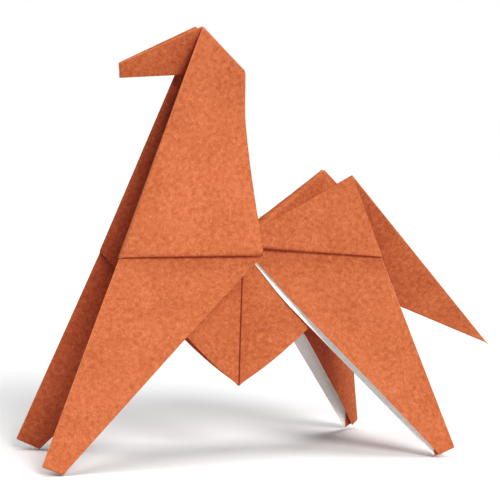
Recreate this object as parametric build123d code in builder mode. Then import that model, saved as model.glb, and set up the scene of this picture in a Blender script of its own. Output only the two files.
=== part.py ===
from build123d import *
import os
from math import cos, radians, sin, sqrt, tan

# Origami horse: one square sheet, cut twice and folded, standing on four feet.
# Frame: +Z up, head towards -X, tail towards +X, near side towards -Y.

# Driving dimensions, in millimetres and degrees
sheet_side = 150.0  # the flat square that the horse is folded from
paper = 0.2  # thickness of the sheet
fold_radius = 0.17  # radius of the rounded paper at a fold
belly_height = 13.0  # belly tip above the surface that the feet stand on
spine_gap = 1.0  # between the neck's spine and the rump's spine, at the sheet's corners
belly_lift = 0.5  # how far the belly's cut end stands off the spine
leg_stand = 0.65  # how far the top of a leg stands off the wall behind it
leg_inset = 0.45  # how far a leg's edge lies inside the fold of the strip over it
strip_stand = 1.4  # how far a turned-in strip's fold stands off the wall at its foot
strip_close = 0.35  # the same at the pinched end
strip_gap = 0.7  # between the strip and the leg at the sheet's side
neck_pinch = 40.0  # up the neck's edge, from the shoulder to where its strip is pinched shut
neck_length = 39.5  # from the cut end up the spine to the head's fold
head_slope = 42.5  # the head fold's rise towards the throat
head_turn = -7.0  # the head fold's turn about the vertical
muzzle_tuck = 8.3  # length of the tip that is tucked into the muzzle
rump_length = 3.0  # from the cut end up the spine to the tail's fold
tail_slope = 34.5  # the tail fold's rise towards the rump's peak
tail_turn = 9.0  # the tail fold's turn about the vertical
inner_fan = 3.0  # angle between the layers of the head and of the tail
tuck_fan = 2.0  # angle between a tucked tip and the wall that it lies against
tuck_inset = 3.0  # how far a tucked tip's own fold lies inside the fold around it

# Each corner of the horse is a leaf of the folded sheet.
# swing: the leaf's turn from the long axis; lift: the leg's lean away from the belly;
# spread: the opening between the leg's two layers; splay: the inner layer's turn inwards
leaves = {
    "near_fore": dict(end=-1, side=-1, swing=12.0, lift=4.9, spread=18.0, splay=0.0),
    "far_fore": dict(end=-1, side=1, swing=19.7, lift=4.3, spread=12.0, splay=0.0),
    "near_hind": dict(end=1, side=-1, swing=13.3, lift=3.2, spread=14.0, splay=0.0),
    "far_hind": dict(end=1, side=1, swing=20.0, lift=15.1, spread=6.5, splay=13.5),
}

# The folded sheet seen flat: a leaf's own x runs outwards from the spine and its y runs up.
# The sheet's corner is folded in half twice, so each layer has a quarter of a right angle.
tip_angle = radians(90 / 4)
half_side = sheet_side / 2
corner_height = half_side * sqrt(2)
cut_height = corner_height - half_side
leg_top = half_side * cos(tip_angle)  # from the sheet's corner to the fold at a leg's top
leg_width = half_side * sin(tip_angle)  # that fold's length
edge_length = half_side / cos(tip_angle)  # from the shoulder to the sheet's corner
knee_rise = edge_length - leg_top  # from the shoulder up to the leg's top fold

up = Vector(0, 0, 1)
belly = Vector(0, 0, 0)


def on_line(start, finish, share):
    """The point that lies a share of the way from start to finish."""
    return start + (finish - start) * share


def reflected(point, origin, normal):
    """The point's mirror image in the plane through origin with that unit normal."""
    return point - normal * (2 * (point - origin).dot(normal))


def crossing(start, finish, origin, normal):
    """Where the line from start to finish meets the plane through origin."""
    share = (origin - start).dot(normal) / (finish - start).dot(normal)
    return on_line(start, finish, share)


def square_to(direction, axis):
    """The unit direction that is left when the part along a unit axis is taken away."""
    return (direction - axis * direction.dot(axis)).normalized()


def turned(direction, towards, angle):
    """A unit direction turned by an angle towards another unit direction square to it."""
    return direction * cos(radians(angle)) + towards * sin(radians(angle))


def swung(point, start, finish, angle):
    """The point swung about the line from start to finish."""
    return (point - start).rotate(Axis((0, 0, 0), finish - start), angle) + start


def fold_plane(end, length, slope, turn):
    """A reverse fold across a spine: its point on the spine and its plane's normal."""
    top = Vector(end * spine_gap, 0, corner_height)
    pivot = on_line(belly, top, (cut_height + length) / corner_height)
    normal = Vector(-end * sin(radians(slope)), 0, cos(radians(slope)))
    return top, pivot, normal.rotate(Axis.Z, turn)


panels = []  # the corners of each flat panel of the sheet
folds = []  # the two ends of each fold

neck_fold = fold_plane(-1, neck_length, head_slope, head_turn)
rump_fold = fold_plane(1, rump_length, tail_slope, tail_turn)

for leaf in leaves.values():
    end, side = leaf["end"], leaf["side"]
    out = turned(Vector(end, 0, 0), Vector(0, side, 0), leaf["swing"])
    outside = out.cross(up) * (-end * side)
    tip, pivot, normal = neck_fold if end < 0 else rump_fold

    # The wall of the neck or rump, from the belly's edge up to the reverse fold
    shoulder = (out + up) * cut_height
    peak = crossing(shoulder, tip, pivot, normal)
    edge = (tip - shoulder).normalized()
    inwards = square_to(pivot - shoulder, edge)
    panels.append([belly, shoulder, peak, pivot])

    # The belly, folded back up outside the wall, as far as the leg's top fold
    knee = shoulder + edge * knee_rise + outside * leg_stand - out * leg_inset
    cut_end = Vector(0, side * belly_lift, cut_height)
    panels.append([belly, shoulder, cut_end])
    panels.append([shoulder, knee, cut_end])

    # The leg hangs from its top fold: its outer edge is a fold between two layers
    across = (cut_end - knee).normalized()
    level = square_to(shoulder - knee, across)
    face = across.cross(level) * (-end * side)
    lean = turned(level, face, leaf["lift"])
    lean_face = turned(face, level * -1, leaf["lift"])
    point = knee + lean * leg_top
    ear = knee + turned(across, lean_face, leaf["spread"]) * leg_width
    heel_end = knee + turned(across, lean_face * -1, leaf["splay"]) * leg_width

    # The hoof is square to the outer edge, and its inner corner stands on the floor
    tuck = (-belly_height - point.Z) / (heel_end.Z - point.Z)
    toe = on_line(point, knee, tuck)
    heel = on_line(point, heel_end, tuck)
    outer_heel = on_line(point, ear, tuck)
    panels.append([knee, cut_end, heel])
    panels.append([knee, heel, toe])
    panels.append([knee, ear, outer_heel, toe])
    for corner, way in ((outer_heel, -end * side), (heel, end * side)):
        tucked = toe * 2 - point + (corner - toe).normalized() * tuck_inset
        panels.append([toe, corner, swung(tucked, toe, corner, way * tuck_fan)])
        folds.append((toe, corner))

    # The turned-in strip lies outside the leg's top and stands open at its foot. A pleat under it
    # goes up to the leg's top fold, and further up the strip is pinched shut on the wall.
    foot = shoulder + outside * strip_stand
    rim = ear + outside * strip_gap
    peak_out = peak + outside * strip_close
    rim_top = pivot + outside * strip_close
    if end < 0:
        low = shoulder + edge * neck_pinch + outside * strip_close
        high = low + inwards * ((edge_length - neck_pinch) * tan(tip_angle))
        panels.append([foot, rim, low])
        panels.append([rim, high, low])
        panels.append([low, high, rim_top, peak_out])
        panels.append([shoulder, foot, low, peak_out, peak])
    else:
        panels.append([foot, rim, peak_out])
        panels.append([rim, rim_top, peak_out])
        panels.append([shoulder, foot, peak_out, peak])
    panels.append([foot, rim, knee])
    panels.append([knee, ear, rim])
    panels.append([shoulder, foot, knee])
    folds += [(belly, shoulder), (foot, rim), (knee, ear), (knee, cut_end)]
    folds += [(knee, toe), (peak, pivot)]

    # Past the reverse fold, the wall and its turned-in edge go inside the body
    far_tip = reflected(tip, pivot, normal)
    inner_edge = swung(pivot, peak, far_tip, -inner_fan * end * side)
    if end < 0:
        # The muzzle's tip is tucked inside, square to the head's lower edge
        length = (far_tip - pivot).length
        chin = on_line(far_tip, pivot, muzzle_tuck / length)
        nose = crossing(peak, far_tip, chin, (far_tip - pivot).normalized())
        inner_chin = swung(chin, peak, far_tip, -inner_fan * end * side)
        turned_tip = chin * 2 - far_tip + (nose - chin).normalized() * tuck_inset
        turned_tip = swung(turned_tip, nose, chin, -(inner_fan + tuck_fan) * end * side)
        panels.append([peak, nose, chin, pivot])
        panels.append([peak, nose, inner_chin, inner_edge])
        panels.append([nose, chin, turned_tip])
        folds += [(peak, nose), (nose, chin)]
        spine_foot = chin
    else:
        panels.append([peak, far_tip, pivot])
        panels.append([peak, far_tip, inner_edge])
        folds.append((peak, far_tip))
        spine_foot = far_tip
    if side < 0:
        folds += [(belly, pivot), (pivot, spine_foot)]
    if end < 0:
        folds.append((belly, cut_end))


def panel_plane(corners):
    """The plane through a panel's first three corners, on the sheet's lower face."""
    normal = (corners[1] - corners[0]).cross(corners[2] - corners[0])
    return Plane(corners[0], corners[1] - corners[0], normal).offset(-paper / 2)


with BuildPart() as folded_horse:
    for corners in panels:
        plane = panel_plane(corners)
        with BuildSketch(plane):
            with BuildLine():
                outline = [plane.to_local_coords(corner) for corner in corners]
                Polyline(*[(corner.X, corner.Y) for corner in outline], close=True)
            make_face()
        extrude(amount=paper)
    beads = []
    for start, finish in folds:
        with Locations(Plane(start, z_dir=finish - start)):
            beads.append(
                Cylinder(
                    fold_radius,
                    (finish - start).length,
                    align=(Align.CENTER, Align.CENTER, Align.MIN),
                    mode=Mode.PRIVATE,
                )
            )
    add(beads)

# Joining thin panels can leave slivers of no volume, so only the sheet itself is kept.
# The origin is under the middle of the horse, on the surface that it stands on.
sheet = folded_horse.part.solids().sort_by(SortBy.VOLUME)[-1]
box = sheet.bounding_box()
horse = sheet.moved(Location((-box.center().X, -box.center().Y, -box.min.Z)))
horse.label = "folded_horse"

os.makedirs("parts", exist_ok=True)
export_step(horse, "parts/folded_horse.step")
print(len(panels), "panels", len(folds), "folds", len(horse.solids()), "solids", horse.volume)
print(horse.bounding_box().size)
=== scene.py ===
# %% [markdown]
# # A horse folded from one square of paper
#
# The object is one sheet, terracotta on one side and white on the other. It has two cuts and
# about sixty folds, and it stands on the inner corners of its four hooves.
#
# The lesson builds it as a folder does. The flat square is divided along its creases, every flat
# point is sent to the place that its panel has in the folded horse, and a small local average
# then rounds each crease as paper rounds it. A point keeps its flat place as its UV, so the paper's
# fibre runs on across the folds.

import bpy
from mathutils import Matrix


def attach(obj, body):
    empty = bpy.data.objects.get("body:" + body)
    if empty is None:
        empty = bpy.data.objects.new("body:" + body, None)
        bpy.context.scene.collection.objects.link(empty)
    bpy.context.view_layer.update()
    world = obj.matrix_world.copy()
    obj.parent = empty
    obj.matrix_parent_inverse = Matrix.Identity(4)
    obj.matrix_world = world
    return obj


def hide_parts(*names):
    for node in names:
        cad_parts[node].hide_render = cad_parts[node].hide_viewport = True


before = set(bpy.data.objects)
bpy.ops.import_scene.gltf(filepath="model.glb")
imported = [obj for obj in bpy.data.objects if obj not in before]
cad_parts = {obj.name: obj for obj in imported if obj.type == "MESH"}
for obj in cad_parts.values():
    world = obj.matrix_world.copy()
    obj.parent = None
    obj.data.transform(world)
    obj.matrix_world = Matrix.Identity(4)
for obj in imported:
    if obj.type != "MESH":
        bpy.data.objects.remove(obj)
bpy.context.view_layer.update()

# %% Libraries
from math import asin, cos, degrees, pi, radians, sin, sqrt, tan

import bmesh
import bpy
import numpy as np
from mathutils import Matrix

# %% [markdown]
# ## The driving sizes
#
# The horse is symmetrical on paper, and only the hand that sets it up makes its four corners
# differ. So there is one set of lengths for the sheet, and one short group of settings for each
# corner, which is called a leaf here, all in millimetres and degrees. They could be read off the packed
# mesh, but a written value is easier to follow and to change.
#
# The lengths of the folds and most angles repeat the CAD model's values. The paper is thinner here.
# The lifts are smaller, because these legs bend where the CAD model's are straight, and the near hind leg
# opens a little less. The settings of the raw edges, the tilt and the press belong to this scene alone.

# %% Sizes of the sheet and its folds
sheet_side = 150.0  # the flat square
paper = 0.14  # thickness of the sheet
belly_height = 13.0  # belly tip above the floor
spine_gap = 1.0  # between the neck's spine and the rump's, at the sheet's corners
neck_length = 39.5  # from the cut's end up the spine to the head's fold
head_slope, head_turn = 42.5, -7.0
muzzle_tuck = 8.3  # length of the tip that is tucked into the muzzle
rump_length = 3.0  # from the cut's end up the spine to the tail's fold
tail_slope, tail_turn = 34.5, 9.0
tuck_inset = 3.0  # how far a tucked tip leans away from the fold beside it
axis_place = np.array([-9.9129, -7.9186, 13.1566])  # the belly tip's place in the shared frame

# %% Settings of the four leaves
# swing: turn from the long axis; lift: the leg's turn away from the belly;
# spread: opening between a leg's two layers; splay: the inner layer's turn inwards;
# outer, inner: how far the raw edges of a leg's two layers fall short of an exact fold's, at its top
# and further down, or pass them where the value is negative;
# tilt: how far the strip's lower edge rises towards the sheet's side, as a slope;
# press: how far a leg's two layers are pressed together at its top, as a share of the spread
as_folded = dict(splay=0.0, outer=(0.0, 0.0), inner=(0.0, 0.0), tilt=0.0, press=0.0)
leaves = {
    "near_fore": dict(as_folded, end=-1, side=-1, swing=12.0, lift=2.0, spread=18.0),
    "far_fore": dict(as_folded, end=-1, side=1, swing=19.7, lift=1.4, spread=12.0, inner=(0.0, -0.9)),
    "near_hind": dict(as_folded, end=1, side=-1, swing=13.3, lift=0.3, spread=12.0, tilt=0.05, press=0.88),
    "far_hind": dict(as_folded, end=1, side=1, swing=20.0, lift=14.7, spread=6.5, splay=13.5),
}
leaves["near_hind"].update(outer=(1.1, 0.85), inner=(0.9, -0.3))
leaves["far_hind"].update(inner=(-0.3, 1.4))
print("leaves:", ", ".join(leaves))

# %% [markdown]
# ## The creases on the flat square
#
# Each leaf is a quarter of the square, the triangle between two half diagonals. In its own flat
# coordinates, x runs from the sheet's centre to the head or tail corner and y runs to the leg corner, so
# one list of corners serves all four leaves. Apart from the reverse folds and the tucked tips, every
# crease follows from the halving of a right angle, so most of the horse's proportions need no measuring
# beyond the sheet's own side.

# %% Flat corners that every leaf shares
half_side = sheet_side / 2
corner = half_side * sqrt(2)  # from the sheet's centre to a corner
cut_height = corner - half_side  # from the centre to the end of a cut
tip_angle = radians(90 / 4)  # a corner folded in half twice
leg_top = half_side * cos(tip_angle)  # from a corner to the fold at a leg's top
leg_width = half_side * sin(tip_angle)  # that fold's length


def unit(vector):
    """The vector divided by its own length."""
    vector = np.asarray(vector, float)
    return vector / np.linalg.norm(vector)


flat_centre = np.array([0.0, 0.0])
flat_tip = np.array([corner, 0.0])  # becomes the muzzle or the tail's end
flat_point = np.array([0.0, corner])  # becomes a hoof
flat_shoulder = np.array([cut_height, cut_height])
flat_ear = np.array([corner, corner]) / 2  # middle of the sheet's side
flat_cut = np.array([0.0, cut_height])
flat_knee = flat_point + unit(flat_shoulder - flat_point) * leg_top
print("corner", round(corner, 2), "cut end", round(cut_height, 2), "leg", round(leg_top, 2))

# %% Distances from the two creases that flaps hang on
strip_line = unit(flat_tip - flat_shoulder)  # crease between a wall and its turned-in strip
strip_across = unit(flat_ear - flat_shoulder - strip_line * np.dot(flat_ear - flat_shoulder, strip_line))
leg_line = unit(flat_knee - flat_point)  # crease down the outer edge of a leg
leg_across = unit(flat_ear - flat_knee)
strip_foot = float(np.linalg.norm(flat_knee - flat_shoulder))  # where the ear lies along the strip


def strip_parts(x, y):
    """A flat point as a distance along the strip's crease and a distance away from it."""
    dx, dy = x - flat_shoulder[0], y - flat_shoulder[1]
    along = dx * strip_line[0] + dy * strip_line[1]
    return along, dx * strip_across[0] + dy * strip_across[1]


def leg_parts(x, y):
    """A flat point as a distance up a leg's crease and a distance to its outer-layer side."""
    dx, dy = x - flat_point[0], y - flat_point[1]
    along = dx * leg_line[0] + dy * leg_line[1]
    return along, dx * leg_across[0] + dy * leg_across[1]


print("the ear lies", round(strip_foot, 2), "mm up the strip's crease")

# %% [markdown]
# ## The folded leaf
#
# A panel of a folded sheet is moved rigidly, so its map from the flat sheet is straight: a start
# point and two directions. Two kinds of panel are not quite rigid in this horse. The strip that is
# turned in along the neck is pinched shut at the head and stands open at its foot, and the legs lean
# out where they leave the body. Both are written as a flap on a hinge: along the hinge by one
# parameter, away from it by the other, opened by an angle that changes along the hinge.

# %% Fold planes of the head and the tail
up = np.array([0.0, 0.0, 1.0])


def fold_plane(end, length, slope, turn):
    """A reverse fold across a spine: the spine's direction, the pivot's distance and point, the normal.

    The normal leans back from the vertical by the slope, and is then turned about the vertical.
    """
    spine = np.array([end * spine_gap, 0.0, corner]) / corner
    reach = cut_height + length
    lean, yaw = radians(slope), radians(turn)
    normal = np.array([-end * sin(lean) * cos(yaw), -end * sin(lean) * sin(yaw), cos(lean)])
    return spine, reach, spine * reach, normal


reverse_folds = {
    -1: fold_plane(-1, neck_length, head_slope, head_turn),
    1: fold_plane(1, rump_length, tail_slope, tail_turn),
}
print("pivots up the spine:", [round(reach, 2) for spine, reach, pivot, normal in reverse_folds.values()])

# %% Bend of a leg
bend_start, bend_end = 4.0, 26.0  # the leg leans out between these distances from its top fold
path_points = 400


def eased(share):
    """A smooth step: nothing below 0, all above 1, level at both ends."""
    share = np.clip(share, 0.0, 1.0)
    return share * share * (3 - 2 * share)


def bent_path(lift):
    """Points down a leg's edge: the running sum of a direction that turns by an eased lift."""
    down = np.linspace(-bend_start, leg_top + bend_start, path_points)
    turn = radians(lift) * eased((down - bend_start) / (bend_end - bend_start))
    step = np.diff(down, prepend=down[0])
    return down, down[0] + np.cumsum(step * np.cos(turn)), np.cumsum(step * np.sin(turn)), turn


# %% Frame of one leaf
belly_lift = 0.5  # how far the belly's cut end stands off the spine
leg_stand, leg_inset = 0.65, 0.45  # a leg's top off the wall, and inside the strip's fold


def leaf_frame(leaf):
    """The directions and points in space that a leaf's panels are placed by."""
    end, side, swing = leaf["end"], leaf["side"], radians(leaf["swing"])
    out = np.array([end * cos(swing), side * sin(swing), 0.0])
    outside = np.array([-end * sin(swing), side * cos(swing), 0.0])
    spine, reach, pivot, normal = reverse_folds[end]
    made = dict(leaf, out=out, outside=outside, spine=spine, reach=reach, pivot=pivot, normal=normal)
    made["rise"] = out + up - spine  # the wall's direction along the flat sheet's y
    shoulder = (out + up) * cut_height
    tip = spine * corner
    line = unit(tip - shoulder)
    inward = unit(pivot - shoulder - line * np.dot(pivot - shoulder, line))
    wall_normal = np.cross(line, inward)
    wall_normal *= np.sign(np.dot(wall_normal, outside))
    made.update(shoulder=shoulder, line=line, inward=inward, wall_normal=wall_normal)
    made["peak_share"] = np.dot(pivot - shoulder, normal) / np.dot(tip - shoulder, normal)

    knee = shoulder + line * strip_foot + outside * leg_stand - out * leg_inset
    cut_end = np.array([0.0, side * belly_lift, cut_height])
    across = unit(cut_end - knee)
    level = unit(across * np.dot(line, across) - line)
    face = np.cross(across, level) * (-end * side)
    made.update(knee=knee, cut_end=cut_end, across=across, level=level, face=face)
    made["path"] = bent_path(leaf["lift"])
    return made


frames = {name: leaf_frame(leaf) for name, leaf in leaves.items()}
print("knees, mm:", {name: leaf["knee"].round(1).tolist() for name, leaf in frames.items()})

# %% Places on a leaf
def wall_at(leaf, x, y):
    """A flat point of the wall: x times the spine's direction plus y times the wall's rise."""
    return x[:, None] * leaf["spine"] + y[:, None] * leaf["rise"]


def reflected(leaf, points):
    """The mirror image of points in the leaf's reverse-fold plane."""
    depth = (points - leaf["pivot"]) @ leaf["normal"]
    return points - 2 * depth[:, None] * leaf["normal"]


def strip_at(leaf, along, away, angle, stand):
    """A flap on the wall's outer edge: along the edge, then away from it at an angle to the wall."""
    flap = np.cos(angle)[:, None] * leaf["inward"] + np.sin(angle)[:, None] * leaf["wall_normal"]
    edge = leaf["shoulder"] + along[:, None] * leaf["line"]
    return edge + away[:, None] * flap + stand[:, None] * leaf["wall_normal"]


def leg_at(leaf, along, away, angle):
    """A flap on a leg's bent outer edge: up the edge from the hoof's point, then away at an angle."""
    down, run, rise, turn = leaf["path"]
    below = leg_top - along
    run, rise, turn = (np.interp(below, down, curve)[:, None] for curve in (run, rise, turn))
    edge = leaf["knee"] + run * leaf["level"] + rise * leaf["face"]
    face = np.cos(turn) * leaf["face"] - np.sin(turn) * leaf["level"]
    flap = np.cos(angle)[:, None] * leaf["across"] + np.sin(angle)[:, None] * face
    return edge + away[:, None] * flap


# %% [markdown]
# ## How far the strips open, and where the hooves fold
#
# Two things follow from a leaf's settings and need not be set. The strip lies over the top of the
# leg, so it opens just far enough to clear the leg's free corner, the ear. The hoof is folded
# where the inner corner of the leg comes down to the floor, and that place is found by trying
# many folds at once and reading off the one whose corner has the floor's height.

# %% Opening of the strips
pinch_start = {-1: 40.0, 1: 30.0}  # along the strip's fold, where it is pinched shut
pinch_power = 1.2
strip_stand = 1.4  # how far the strip's fold stands off the wall at its foot
strip_close = 0.35  # how far the pinched strip stands off the wall


def strip_stand_at(end, along):
    """How far the strip's fold stands off the wall: less and less up to the pinch."""
    return strip_stand + (strip_close - strip_stand) * np.clip(along / pinch_start[end], 0.0, 1.0)


def strip_opening(leaf, along):
    """The strip's angle and stand-off: full up to the ear, then falling to the pinch."""
    start = pinch_start[leaf["end"]]
    share = np.clip((start - along) / (start - strip_foot), 0.0, 1.0) ** pinch_power
    return leaf["open_angle"] * share, strip_stand_at(leaf["end"], along)


# %% Ear, strip and hoof of each leaf
ear_gap = 1.6  # how far the strip stands off the leg at the sheet's side
shortest_hoof, longest_hoof, hoof_tries = 4.0, 22.0, 200  # folds that are tried, from the corner


def settle(leaf):
    """Adds a leaf's angles in radians, its ear's place, its strip's opening and its hoof's fold."""
    spread, splay = radians(leaf["spread"]), radians(leaf["splay"])
    pressed = spread * (1 - leaf["press"])
    width = leg_width - leaf["outer"][0]
    one = np.ones(1)
    ear = leg_at(leaf, one * (leg_top + leaf["tilt"] * width), one * width, one * pressed)[0]
    ear_stand = np.dot(ear - leaf["shoulder"], leaf["wall_normal"]) + ear_gap
    leaf["open_angle"] = asin((ear_stand - strip_stand_at(leaf["end"], strip_foot)) / width)
    leaf.update(spread_angle=spread, splay_angle=splay, pressed_angle=pressed, width=width, ear=ear)

    tries = np.linspace(shortest_hoof, longest_hoof, hoof_tries)
    widths = tries * tan(tip_angle) - min(leaf["inner"][1], 0.0)
    heels = leg_at(leaf, tries, widths, np.full(hoof_tries, -splay))
    leaf["hoof"] = float(np.interp(-belly_height, heels[:, 2], tries))


for name, leaf in frames.items():
    settle(leaf)
    opening = round(degrees(leaf["open_angle"]), 1)
    print(name, "strip opens", opening, "degrees, hoof fold", round(leaf["hoof"], 2), "mm from the corner")

# %% [markdown]
# ## The panels
#
# A panel is a flat polygon with the function that places it. Twelve panels make a fore leaf and ten
# make a hind leaf. Layers that lie on one another are set a fraction of a millimetre apart, in the
# order in which the folds stack them: strip, pleat, leg, belly, wall. Where two panels meet at a
# crease they then miss each other by that fraction, and the rounding of a later step turns the miss
# into the bend of the paper.
#
# The body comes first. Its walls and belly are straight maps, and the belly's tip is pressed a
# little blunt, as eight layers of paper are there.

# %% Wall and belly
belly_blunt, belly_blunt_reach = 1.65, 10.0  # how far the belly's tip is pressed up, and how wide
belly_groove, groove_width = 0.12, 0.4  # the crease down the belly's middle is pressed in
groove_start = 6.0  # from the belly's tip to the crease's full depth
belly_stand = 0.25  # between the belly and the wall at the shoulder


def pressed_tip(x, y):
    """How far the belly's tip is pressed upwards: a bell curve about the sheet's centre."""
    return belly_blunt * np.exp(-(x**2 + y**2) / belly_blunt_reach**2)


def wall_panel(leaf, x, y):
    """The wall's straight map, with the belly's tip pressed upwards."""
    return wall_at(leaf, x, y) + pressed_tip(x, y)[:, None] * up


def belly_panel(leaf, x, y):
    """A straight map through belly tip, shoulder and cut end, with its middle crease pressed in."""
    to_cut = leaf["cut_end"] / cut_height
    to_shoulder = (leaf["shoulder"] + leaf["outside"] * belly_stand) / cut_height - to_cut
    placed = x[:, None] * to_shoulder + y[:, None] * to_cut + pressed_tip(x, y)[:, None] * up
    groove = belly_groove * eased(y / groove_start) * np.exp(-((x / groove_width) ** 2))
    return placed - groove[:, None] * np.array([0.0, leaf["side"], 0.0])


# %% Strip and pleat
tilt_reach = 18.0  # from a leg's top to the end of its tilt
pleat_stand, pleat_inset = 1.15, 0.1  # the pleat's lower corner off the wall, and inside the strip's fold
pleat_top_stand = 0.25  # the pleat's upper corner off the leg's top


def strip_panel(leaf, x, y):
    """The strip as a flap on the wall's edge, with its free edge raised by the tilt."""
    along, away = strip_parts(x, y)
    angle, stand = strip_opening(leaf, along)
    away = away * leaf["width"] / leg_width
    along = along + leaf["tilt"] * away * (1 - eased((along - strip_foot) / tilt_reach))
    return strip_at(leaf, along, away, angle, stand)


def pleat_panel(leaf, x, y):
    """The straight map that takes the pleat's three flat corners to their places."""
    flat_pleat = np.array([flat_shoulder, flat_ear, flat_knee])
    low = leaf["shoulder"] + leaf["outside"] * pleat_stand - leaf["out"] * pleat_inset
    free = leaf["ear"] + leaf["outside"] * ear_gap / 2
    placed = np.array([low, free, leaf["knee"] + leaf["outside"] * pleat_top_stand])
    sides = np.linalg.inv((flat_pleat[1:] - flat_pleat[0]).T)
    shares = (np.stack([x, y], 1) - flat_pleat[0]) @ sides.T
    return placed[0] + shares @ (placed[1:] - placed[0])


# %% [markdown]
# ### The legs
#
# A leg is the sheet's corner folded in half, so it has two layers that hang on one crease, white
# inside. Handling leaves its raw edges uneven: on the near hind leg the layers are pressed together at
# the top and open lower down, and a white edge shows beside the brown one. A straight map can't do
# that, so each layer is a flap whose angle and width change down the leg. The hoof is the corner's
# tip, folded back up between the layers.

# %% The two layers of a leg
inner_reach = {-1: (0.0, 14.0), 1: (26.0, 30.0)}  # an inner edge's change on each side: start, length
press_start, press_reach = 12.0, 28.0  # where a leg that is pressed together at its top opens
splay_reach = 30.0  # from a leg's top to the inner layer's full splay


def kept(leaf, along, short, start, reach):
    """The share of a layer's width that is left: one, less the raw edge's shortfall over the width."""
    missing = short[0] + (short[1] - short[0]) * eased((leg_top - along - start) / reach)
    return 1 - missing / (np.maximum(along, leaf["hoof"]) * tan(tip_angle))


def outer_leg_panel(leaf, x, y):
    """The outer layer: a flap that opens on the way down, from the pressed angle to the spread."""
    along, away = leg_parts(x, y)
    opened = eased((leg_top - along - press_start) / press_reach)
    angle = leaf["pressed_angle"] + (leaf["spread_angle"] - leaf["pressed_angle"]) * opened
    away = away * kept(leaf, along, leaf["outer"], press_start, press_reach)
    along = along + leaf["tilt"] * away * (1 - eased((leg_top - along) / tilt_reach))
    return leg_at(leaf, along, away, angle)


def inner_leg_panel(leaf, x, y):
    """The inner layer: a flap that turns inwards on the way down, by the splay."""
    along, away = leg_parts(x, y)
    away = away * kept(leaf, along, leaf["inner"], *inner_reach[leaf["side"]])
    return leg_at(leaf, along, -away, -leaf["splay_angle"] * eased((leg_top - along) / splay_reach))


# %% Tips tucked into the hooves
tuck_fan = radians(3.5)  # angle between a tucked hoof tip and the layer beside it


def tucked(leaf, x, y, angle, short):
    """A tip turned over at the hoof's fold: as far up the leg as it reached down, and leaning inwards."""
    along, away = leg_parts(x, y)
    hoof = leaf["hoof"]
    lean = tuck_inset * (hoof - along) / hoof
    width_left = 1 - short[1] / (hoof * tan(tip_angle))
    return leg_at(leaf, 2 * hoof - along, np.abs(away) * width_left + lean, np.full(len(x), angle))


def outer_tuck_panel(leaf, x, y):
    """The tip of the outer layer, tucked just inside it."""
    return tucked(leaf, x, y, leaf["spread_angle"] - tuck_fan, leaf["outer"])


def inner_tuck_panel(leaf, x, y):
    """The tip of the inner layer, tucked just inside it."""
    return tucked(leaf, x, y, tuck_fan - leaf["splay_angle"], leaf["inner"])


# %% [markdown]
# ### Head and tail
#
# Head and tail are reverse folds: past the fold, the wall and its strip go on as their mirror images
# in the fold's plane. That is how the paper behaves too, so no new shape is needed, only a
# reflection. The head's own tip is turned back once more and tucked into the muzzle.

# %% Layers of the head and the tail
inner_gap = 0.15  # between layers inside the head and the tail
inner_share = 0.9  # width of the strip where it lies inside the head and the tail


def turned_over(x, y, share=1.0):
    """A strip point laid on the wall: its distance from the crease turned over."""
    along, away = strip_parts(x, y)
    laid = flat_shoulder + along[:, None] * strip_line - (away * share)[:, None] * strip_across
    return laid[:, 0], laid[:, 1]


def inner_wall_panel(leaf, x, y):
    """The wall's straight map, mirrored in the reverse fold."""
    return reflected(leaf, wall_at(leaf, x, y))


def inner_strip_panel(leaf, x, y):
    """The strip laid on the wall, a gap inside it, and mirrored with it."""
    x, y = turned_over(x, y, inner_share)
    return reflected(leaf, wall_at(leaf, x, y) - inner_gap * leaf["wall_normal"])


# %% Tip tucked into the muzzle
chin_x = corner - muzzle_tuck  # the muzzle's fold, square to the head's lower edge
muzzle_share = 0.7  # width of the tucked tip
muzzle_fade = 2.0  # from the spine, where the walls meet, to the tip's full gap


def muzzle_tip(leaf, x, y, gap):
    """A tip turned over at the muzzle's fold, leaning away from the spine, a gap inside the wall."""
    inner_y = y * muzzle_share + tuck_inset * (x - chin_x) / muzzle_tuck
    inset = gap * np.clip(inner_y / muzzle_fade, 0.0, 1.0)
    return reflected(leaf, wall_at(leaf, 2 * chin_x - x, inner_y) - inset[:, None] * leaf["wall_normal"])


def muzzle_wall_panel(leaf, x, y):
    """The wall's tip, the innermost layer of the muzzle."""
    return muzzle_tip(leaf, x, y, 3 * inner_gap)


def muzzle_strip_panel(leaf, x, y):
    """The strip's tip, laid on the wall's and one gap further out."""
    return muzzle_tip(leaf, *turned_over(x, y), 2 * inner_gap)


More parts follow.
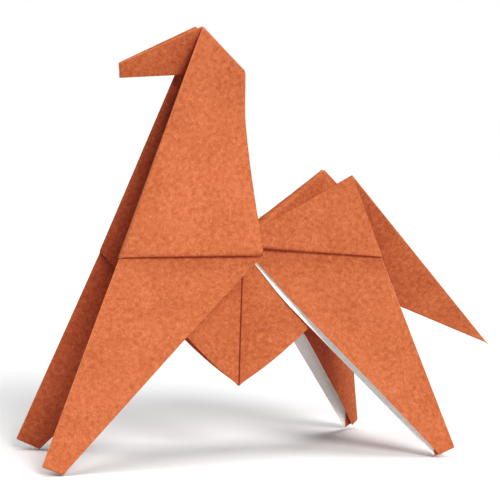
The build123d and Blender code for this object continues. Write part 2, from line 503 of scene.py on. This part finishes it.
# %% Corners of the panels
def leaf_panels(leaf):
    """The flat corners and the placing function of each panel of a leaf."""
    flat_pivot = np.array([leaf["reach"], 0.0])
    flat_peak = flat_shoulder + (flat_tip - flat_shoulder) * leaf["peak_share"]
    flat_edge = flat_tip + unit(flat_ear - flat_tip) * (corner - leaf["reach"])
    flat_toe = flat_point + leg_line * leaf["hoof"]
    flat_heel = flat_point + (flat_cut - flat_point) * (leaf["hoof"] / leg_top)
    flat_outer = flat_point + (flat_ear - flat_point) * (leaf["hoof"] / leg_top)
    found = [
        ([flat_centre, flat_shoulder, flat_peak, flat_pivot], wall_panel),
        ([flat_centre, flat_shoulder, flat_knee, flat_cut], belly_panel),
        ([flat_shoulder, flat_ear, flat_edge, flat_peak], strip_panel),
        ([flat_shoulder, flat_ear, flat_knee], pleat_panel),
        ([flat_knee, flat_ear, flat_outer, flat_toe], outer_leg_panel),
        ([flat_knee, flat_cut, flat_heel, flat_toe], inner_leg_panel),
        ([flat_point, flat_toe, flat_outer], outer_tuck_panel),
        ([flat_point, flat_toe, flat_heel], inner_tuck_panel),
    ]
    if leaf["end"] > 0:
        return found + [
            ([flat_tip, flat_peak, flat_pivot], inner_wall_panel),
            ([flat_tip, flat_peak, flat_edge], inner_strip_panel),
        ]
    flat_chin = np.array([chin_x, 0.0])
    flat_nose = np.array([chin_x, muzzle_tuck * tan(tip_angle)])
    flat_inner_chin = flat_tip + unit(flat_ear - flat_tip) * muzzle_tuck
    return found + [
        ([flat_pivot, flat_peak, flat_nose, flat_chin], inner_wall_panel),
        ([flat_edge, flat_peak, flat_nose, flat_inner_chin], inner_strip_panel),
        ([flat_tip, flat_chin, flat_nose], muzzle_wall_panel),
        ([flat_tip, flat_inner_chin, flat_nose], muzzle_strip_panel),
    ]


panels = []  # flat corners in the whole sheet, the leaf's signs, the leaf, the placing function
for leaf in frames.values():
    signs = np.array([leaf["end"], leaf["side"]], float)
    for corners, place in leaf_panels(leaf):
        panels.append((np.array(corners) * signs, signs, leaf, place))
print(len(panels), "panels")

# %% [markdown]
# ## One mesh for the flat sheet
#
# Each panel becomes a grid over its four corners, closer towards the edges, because that is where
# the paper bends. A triangle is a grid with one side shrunk to a point. All grids use the same
# spacing, so two panels have the same points on the crease that they share, and welding the points
# makes one sheet. The two cuts stay open: their two sides are lifted apart while the welding is done.

# %% Grids over the panels
grid_steps = 26
grid_bunching = 2.4
even = np.linspace(-1.0, 1.0, grid_steps + 1)
spacing = 0.5 + 0.5 * np.tanh(grid_bunching * even) / np.tanh(grid_bunching)
across_grid, along_grid = np.meshgrid(spacing, spacing, indexing="ij")


def turning(corners):
    """Twice the area inside the corners, which is negative where they run clockwise."""
    x, y = corners[:, 0], corners[:, 1]
    return np.sum(x * np.roll(y, -1) - y * np.roll(x, -1))


def panel_grid(corners):
    """Points between four corners: the corners weighted by the products of the two shares."""
    first, second, third = corners[:3]
    fourth = corners[3] if len(corners) == 4 else first
    s, t = across_grid[..., None], along_grid[..., None]
    grid = (1 - s) * (1 - t) * first + s * (1 - t) * second + s * t * third + (1 - s) * t * fourth
    return grid.reshape(-1, 2)


def grid_faces(corners, start):
    """Quads of the grid, wound so that the coloured side is the one that faces down on the table."""
    number = np.arange((grid_steps + 1) ** 2).reshape(grid_steps + 1, grid_steps + 1) + start
    quads = [number[:-1, :-1], number[1:, :-1], number[1:, 1:], number[:-1, 1:]]
    quads = np.stack([side.ravel() for side in quads], 1)
    return quads[:, ::-1] if turning(corners) > 0 else quads


points, faces = [], []
cut_lift = 1.0  # the two sides of a cut are held this far up and down during the welding
for corners, signs, leaf, place in panels:
    flat = panel_grid(corners)
    past_cut = np.abs(flat[:, 1]) > cut_height + 1e-6
    faces.append(grid_faces(corners, len(points) * len(flat)))
    points.append(np.column_stack([flat, np.where(past_cut, signs[0] * cut_lift, 0.0)]))
print(len(points), "grids of", len(points[0]), "points")

# %% Welding
weld_distance, sliver_width = 2e-3, 1e-5
sheet_mesh = bpy.data.meshes.new("paper_horse")
sheet_mesh.from_pydata(np.concatenate(points).tolist(), [], np.concatenate(faces).tolist())
weld = bmesh.new()
weld.from_mesh(sheet_mesh)
bmesh.ops.remove_doubles(weld, verts=weld.verts, dist=weld_distance)
bmesh.ops.dissolve_degenerate(weld, edges=weld.edges, dist=sliver_width)
weld.to_mesh(sheet_mesh)
weld.free()
flat_points = np.empty(len(sheet_mesh.vertices) * 3)
sheet_mesh.vertices.foreach_get("co", flat_points)
flat_points = flat_points.reshape(-1, 3)
print("flat sheet:", len(flat_points), "points,", len(sheet_mesh.polygons), "faces")

# %% [markdown]
# ## Folding
#
# The fold map sends a flat point to its panel's place. On its own it would make knife-sharp creases.
# Taking the mean of the map over a small disc around each point leaves the panels as they are and
# rounds the creases to the disc's radius. It is the same idea as blurring a picture's edges. A
# Bevel modifier could round the creases too, but it fails where four folds meet in a point, and
# this sheet has many such points.

# %% The fold map
def folded(flat, leaf_end):
    """Each flat point's place: the panel that it lies deepest in is found, and that panel places it.

    A point beside a cut has the end of its own side, and the panels across the cut don't count for it.
    """
    deepest = np.full(len(flat), -np.inf)
    which = np.zeros(len(flat), int)
    for index, (corners, signs, leaf, place) in enumerate(panels):
        winding = np.sign(turning(corners))
        depth = np.full(len(flat), np.inf)
        for start, finish in zip(corners, np.roll(corners, -1, 0)):
            along = unit(finish - start)
            away = along[0] * (flat[:, 1] - start[1]) - along[1] * (flat[:, 0] - start[0])
            depth = np.minimum(depth, winding * away)
        nearer = (depth > deepest) & (leaf_end != -signs[0])
        deepest[nearer], which[nearer] = depth[nearer], index
    placed = np.empty((len(flat), 3))
    for index, (corners, signs, leaf, place) in enumerate(panels):
        chosen = which == index
        if chosen.any():
            own = flat[chosen] * signs
            placed[chosen] = place(leaf, own[:, 0], own[:, 1])
    return placed


# %% Rounded creases
bend_radius = 0.34  # of the paper at a crease
tip_radius, tip_reach = 0.9, 4.0  # more at the belly's tip, where eight layers meet
rings = ((0.0, 1), (1 / 3, 6), (2 / 3, 12), (1.0, 18))
disc = [
    (ring * cos(2 * pi * turn / count), ring * sin(2 * pi * turn / count))
    for ring, count in rings
    for turn in range(count)
]

flat = flat_points[:, :2]
radius = bend_radius + tip_radius * np.exp(-np.sum(flat**2, 1) / tip_reach**2)
leaf_end = np.sign(flat_points[:, 2].round())  # 0 where the sheet isn't cut apart
places = np.zeros((len(flat), 3))
for offset in disc:
    sample = flat + radius[:, None] * np.array(offset)
    sample[:, 0] = np.where(leaf_end == 0, sample[:, 0], leaf_end * np.abs(sample[:, 0]))
    places += folded(sample, leaf_end) / len(disc)
places = (places + axis_place) / 1000
sheet_mesh.vertices.foreach_set("co", places.ravel())
sheet_mesh.update()
print("folded box, mm:", (places.min(0) * 1000).round(2), (places.max(0) * 1000).round(2))

# %% [markdown]
# ## What the paint will need, and the thickness
#
# Each point keeps three things from the flat sheet: its place, as a UV, its distance to the nearest
# fold on the outside of the horse, and its distance to the belly's middle crease. They are worked
# out on the flat sheet, where a fold is a straight line. The thickness is a Solidify modifier, which can
# give the two sides and the raw edge a material each.

# %% Flat places as UV
corner_vertex = np.empty(len(sheet_mesh.loops), int)
sheet_mesh.loops.foreach_get("vertex_index", corner_vertex)
uv_map = sheet_mesh.uv_layers.new(name="flat_sheet")
uv_map.data.foreach_set("uv", (flat[corner_vertex] / sheet_side + 0.5).ravel())
print("UV corners:", len(corner_vertex))

# %% Distances to the folds
outer_folds = []  # the two ends of each fold that lies on the outside of the horse
for leaf in frames.values():
    signs = np.array([leaf["end"], leaf["side"]], float)
    outer_folds.append((flat_shoulder * signs, flat_tip * signs))
    outer_folds.append((flat_knee * signs, (flat_point + leg_line * leaf["hoof"]) * signs))

near_fold = np.full(len(flat), np.inf)
for start, finish in outer_folds:
    run = finish - start
    share = np.clip((flat - start) @ run / (run @ run), 0.0, 1.0)
    near_fold = np.minimum(near_fold, np.linalg.norm(flat - start - share[:, None] * run, axis=1))
# distance to the outer folds, which sets the paler line there: wear of the coat and a painted highlight of
# the rounded fold
wear_and_highlight_distance = sheet_mesh.attributes.new("fold_distance", "FLOAT", "POINT")
wear_and_highlight_distance.data.foreach_set("value", near_fold)
# distance to the belly's middle crease, which sets the dark line of painted shade there
beyond = np.maximum(np.abs(flat[:, 1]) - cut_height, 0.0)
belly_crease = sheet_mesh.attributes.new("crease_distance", "FLOAT", "POINT")
belly_crease.data.foreach_set("value", np.hypot(flat[:, 0], beyond))
print("points within 1 mm of an outer fold:", int((near_fold < 1).sum()))

# %% The sheet's thickness
horse = bpy.data.objects.new("paper_horse", sheet_mesh)
bpy.context.scene.collection.objects.link(horse)
sheet_mesh.polygons.foreach_set("use_smooth", np.ones(len(sheet_mesh.polygons), bool))
thick = horse.modifiers.new("paper_thickness", "SOLIDIFY")
thick.thickness = paper / 1000
thick.offset = 0.0
thick.material_offset = 1
thick.material_offset_rim = 2
thick.use_quality_normals = True
print("thickness, mm:", round(thick.thickness * 1000, 2))

# %% [markdown]
# ## The paper's two sides
#
# The terracotta side is a thin coat of colour on a rough paper, so it is matt, with a mottle of a
# millimetre or two where the fibres take the colour unevenly, and with paler fibres curled in it. Along
# the folds on the outside a paler line is partly the coat worn thin and partly a painted highlight of the
# rounded fold, and the belly's middle crease has a dark line of painted shade.
# The reverse is plain off-white, and the raw edge shows the paper's core.
#
# Each finish is made from noise on the flat sheet's UV, so that the grain keeps its size and runs on
# through the folds. A fibre is a noise's middle level, drawn as a thin line. The two kinds of fold line
# come from the distances that the points keep.

# %% Material with the flat sheet's coordinates
def new_material(name, roughness):
    """A material with one shader, and the texture coordinates of the flat sheet in millimetres."""
    material = bpy.data.materials.new(name)
    material.use_nodes = True
    tree = material.node_tree
    shader = tree.nodes["Principled BSDF"]
    shader.inputs["Roughness"].default_value = roughness
    shader.inputs["Specular IOR Level"].default_value = 0.25
    flat_uv = tree.nodes.new("ShaderNodeUVMap")
    flat_uv.uv_map = "flat_sheet"
    size = tree.nodes.new("ShaderNodeMapping")
    size.inputs["Scale"].default_value = (sheet_side, sheet_side, sheet_side)
    tree.links.new(flat_uv.outputs["UV"], size.inputs["Vector"])
    return material, tree, shader, size.outputs["Vector"]


# %% Noise, colours and mixtures
def noise(tree, vector, scale, detail, rough, curl=0.0):
    """A noise of a given number of waves per millimetre, drawn out into curls if asked."""
    node = tree.nodes.new("ShaderNodeTexNoise")
    node.inputs["Scale"].default_value = scale
    node.inputs["Detail"].default_value = detail
    node.inputs["Roughness"].default_value = rough
    node.inputs["Distortion"].default_value = curl
    tree.links.new(vector, node.inputs["Vector"])
    return node.outputs["Fac"]


def ramp(tree, value, stops):
    """A value turned into a colour between the given stops."""
    node = tree.nodes.new("ShaderNodeValToRGB")
    while len(node.color_ramp.elements) < len(stops):
        node.color_ramp.elements.new(0.5)
    for element, (place, colour) in zip(node.color_ramp.elements, stops):
        element.position = place
        element.color = (*colour, 1.0)
    tree.links.new(value, node.inputs["Fac"])
    return node.outputs["Color"]


def mix(tree, kind, share, first, second):
    """Two colours mixed by a share, which is a number or another node's value."""
    node = tree.nodes.new("ShaderNodeMix")
    node.data_type = "RGBA"
    node.blend_type = kind
    if isinstance(share, (int, float)):
        node.inputs["Factor"].default_value = share
    else:
        tree.links.new(share, node.inputs["Factor"])
    for value, socket in ((first, node.inputs["A"]), (second, node.inputs["B"])):
        if isinstance(value, tuple):
            socket.default_value = (*value, 1.0)
        else:
            tree.links.new(value, socket)
    return node.outputs["Result"]


# %% Fold lines and relief
def beside_fold(tree, attribute, start, finish, strength):
    """A share that is at its strength up to a start distance, and falls to nothing at the finish."""
    distance = tree.nodes.new("ShaderNodeAttribute")
    distance.attribute_name = attribute
    share = tree.nodes.new("ShaderNodeMapRange")
    share.inputs["From Min"].default_value = start
    share.inputs["From Max"].default_value = finish
    share.inputs["To Min"].default_value = strength
    share.inputs["To Max"].default_value = 0.0
    tree.links.new(distance.outputs["Fac"], share.inputs["Value"])
    return share.outputs["Result"]


grain_depth, grain_strength = 0.00012, 0.5  # of the paper's relief, the depth in metres


def relief(tree, shader, height):
    """Fine relief of the surface, as a bump on the shader's normal."""
    node = tree.nodes.new("ShaderNodeBump")
    node.inputs["Distance"].default_value = grain_depth
    node.inputs["Strength"].default_value = grain_strength
    tree.links.new(height, node.inputs["Height"])
    tree.links.new(node.outputs["Normal"], shader.inputs["Normal"])


# %% Terracotta coat and its fibres
colour_side, tree, shader, vector = new_material("terracotta_paper", 0.8)
black, white = (0.0, 0.0, 0.0), (1.0, 1.0, 1.0)
coat_stops = (
    (0.28, (0.410, 0.124, 0.062)),
    (0.50, (0.495, 0.162, 0.086)),
    (0.72, (0.570, 0.201, 0.112)),
)
cloud_stops = ((0.3, (0.87, 0.84, 0.80)), (0.7, white))
fibre_stops = ((0.47, black), (0.50, white), (0.53, black))
fibre_colour = (0.66, 0.27, 0.14)
fibres = ((0.42, 0.40), (0.75, 0.34))  # coarse and fine: waves per millimetre, strength
mottle = ramp(tree, noise(tree, vector, scale=0.95, detail=3.0, rough=0.65), coat_stops)
cloud = ramp(tree, noise(tree, vector, scale=0.11, detail=3.0, rough=0.55), cloud_stops)
coat = mix(tree, "MULTIPLY", 1.0, mottle, cloud)
for waves, share in fibres:
    strand = ramp(tree, noise(tree, vector, scale=waves, detail=1.0, rough=0.5, curl=1.6), fibre_stops)
    patchy = mix(tree, "MULTIPLY", 1.0, strand, (share, share, share))
    coat = mix(tree, "MIX", patchy, coat, fibre_colour)

# %% Worn folds with a painted highlight, and painted shade in the belly's crease
wear_and_highlight_colour, crease_shade_colour = (0.72, 0.36, 0.22), (0.10, 0.018, 0.006)
# a paler line along the outer folds: partly wear of the coat, partly a painted highlight of the rounded
# fold
wear_and_painted_highlight = beside_fold(tree, "fold_distance", start=0.05, finish=0.30, strength=0.30)
# a dark line of painted shade along the belly's middle crease
painted_crease_shade = beside_fold(tree, "crease_distance", start=0.10, finish=0.26, strength=0.75)
coat = mix(tree, "MIX", wear_and_painted_highlight, coat, wear_and_highlight_colour)
coat = mix(tree, "MIX", painted_crease_shade, coat, crease_shade_colour)
tree.links.new(coat, shader.inputs["Base Color"])
relief(tree, shader, noise(tree, vector, scale=2.6, detail=4.0, rough=0.7))
print("nodes of the terracotta side:", len(tree.nodes))

# %% White side and raw edge
white_side, tree, shader, vector = new_material("white_paper", 0.85)
white_stops = ((0.3, (0.86, 0.82, 0.80)), (0.7, (0.94, 0.91, 0.89)))
cloud = ramp(tree, noise(tree, vector, scale=1.1, detail=4.0, rough=0.6), white_stops)
tree.links.new(cloud, shader.inputs["Base Color"])
relief(tree, shader, noise(tree, vector, scale=3.2, detail=4.0, rough=0.7))

raw_edge, tree, shader, vector = new_material("raw_paper_edge", 0.9)
core_stops = ((0.3, (0.70, 0.36, 0.24)), (0.7, (0.80, 0.55, 0.44)))
core = ramp(tree, noise(tree, vector, scale=2.0, detail=3.0, rough=0.6), core_stops)
tree.links.new(core, shader.inputs["Base Color"])

for material in (colour_side, white_side, raw_edge):
    sheet_mesh.materials.append(material)
print("materials:", [material.name for material in sheet_mesh.materials])

# %% The sheet takes the CAD solid's place
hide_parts("folded_horse")
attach(horse, "root")

# %% [markdown]
# ## Floor, light and camera
#
# The horse stands on a white table in front of white. A soft light comes from the front, a little from
# the tail's side and 30 degrees up, and a wider one from overhead, so its shadows are faint and close
# to the feet. The surround looks white to the camera and hardly lights the paper: a bright one would
# fill the shade inside the folds, and the layers would run together.
#
# A little contrast and deeper shadows are set for the whole picture. The camera looks from the head's
# side, a little above the table, through a long lens.

# %% Floor
floor_mesh = bpy.data.meshes.new("floor")
floor_reach = 3.0  # metres
floor_corners = [(-floor_reach, -floor_reach, 0), (floor_reach, -floor_reach, 0)]
floor_corners += [(floor_reach, floor_reach, 0), (-floor_reach, floor_reach, 0)]
floor_mesh.from_pydata(floor_corners, [], [(0, 1, 2, 3)])
floor = bpy.data.objects.new("floor", floor_mesh)
bpy.context.scene.collection.objects.link(floor)
floor_paint = bpy.data.materials.new("floor_paint")
floor_paint.use_nodes = True
floor_shader = floor_paint.node_tree.nodes["Principled BSDF"]
floor_shader.inputs["Base Color"].default_value = (0.99, 0.99, 0.99, 1.0)
floor_shader.inputs["Roughness"].default_value = 0.9
floor_mesh.materials.append(floor_paint)

# %% Backdrop
world = bpy.data.worlds.new("studio")
world.use_nodes = True
tree = world.node_tree
lighting = tree.nodes["Background"]
lighting.inputs["Color"].default_value = (1.0, 1.0, 1.0, 1.0)
lighting.inputs["Strength"].default_value = 0.02
seen = tree.nodes.new("ShaderNodeBackground")
seen.inputs["Color"].default_value = (1.0, 1.0, 1.0, 1.0)
ray = tree.nodes.new("ShaderNodeLightPath")
either = tree.nodes.new("ShaderNodeMixShader")
tree.links.new(ray.outputs["Is Camera Ray"], either.inputs["Fac"])
tree.links.new(lighting.outputs["Background"], either.inputs[1])
tree.links.new(seen.outputs["Background"], either.inputs[2])
tree.links.new(either.outputs["Shader"], tree.nodes["World Output"].inputs["Surface"])
bpy.context.scene.world = world

# %% Contrast of the picture
view = bpy.context.scene.view_settings
view.view_transform = "Standard"
view.gamma = 0.83  # a little contrast, as a print has
view.use_curve_mapping = True  # and deeper shadows, which keep more of their colour
tone_curve = view.curve_mapping.curves[3]  # the one for all three colours together
for brightness, shown in ((0.07, 0.042), (0.14, 0.105), (0.25, 0.236), (0.45, 0.45)):
    tone_curve.points.new(brightness, shown)
view.curve_mapping.update()
print("points of the tone curve:", len(tone_curve.points))

# %% Lights
def add_sun(name, azimuth, elevation, width, energy):
    """A soft light of some width in degrees: its azimuth is counted from the front to the tail."""
    lamp = bpy.data.lights.new(name, "SUN")
    lamp.angle = radians(width)
    lamp.energy = energy
    turn, rise = radians(azimuth), radians(elevation)
    source = np.array([sin(turn) * cos(rise), -cos(turn) * cos(rise), sin(rise)])
    right = unit(np.cross(up, source))
    holder = bpy.data.objects.new(name, lamp)
    axes = np.column_stack([right, np.cross(source, right), source])
    holder.matrix_world = Matrix(axes.tolist()).to_4x4()
    bpy.context.scene.collection.objects.link(holder)


add_sun("key", azimuth=8.0, elevation=30.0, width=25.0, energy=2.9)
add_sun("top", azimuth=0.0, elevation=80.0, width=40.0, energy=2.2)

# %% Camera
view_azimuth, view_elevation, view_roll = -21.1, 4.12, 1.47  # degrees
eye_distance = 5.2849  # from the belly tip, in halves of the sheet's side
view_shift = (-0.0338 * half_side, -0.4273 * half_side)  # of the belly tip in the camera's plane
half_side_pixels = 343.31  # half the sheet's side, seen at the belly tip
picture_pixels, sensor_width = 500.0, 36.0
azimuth, elevation, roll = radians(view_azimuth), radians(view_elevation), radians(view_roll)
back = np.array([sin(azimuth) * cos(elevation), -cos(azimuth) * cos(elevation), sin(elevation)])
level_right = np.array([cos(azimuth), sin(azimuth), 0.0])
level_up = np.cross(back, level_right)
right = level_right * cos(roll) + level_up * sin(roll)
camera_up = level_up * cos(roll) - level_right * sin(roll)
eye = back * eye_distance * half_side - right * view_shift[0] - camera_up * view_shift[1]
eye = (eye + axis_place) / 1000
lens = bpy.data.cameras.new("camera")
lens.lens = sensor_width * half_side_pixels * eye_distance / picture_pixels
lens.clip_start = 0.01
camera = bpy.data.objects.new("camera", lens)
turn = np.column_stack([right, camera_up, back])
camera.matrix_world = Matrix.Translation(eye.tolist()) @ Matrix(turn.tolist()).to_4x4()
bpy.context.scene.collection.objects.link(camera)
bpy.context.scene.camera = camera
print("camera at", eye.round(3), "lens", round(lens.lens, 1), "mm")

# %% The end
bpy.context.view_layer.update()
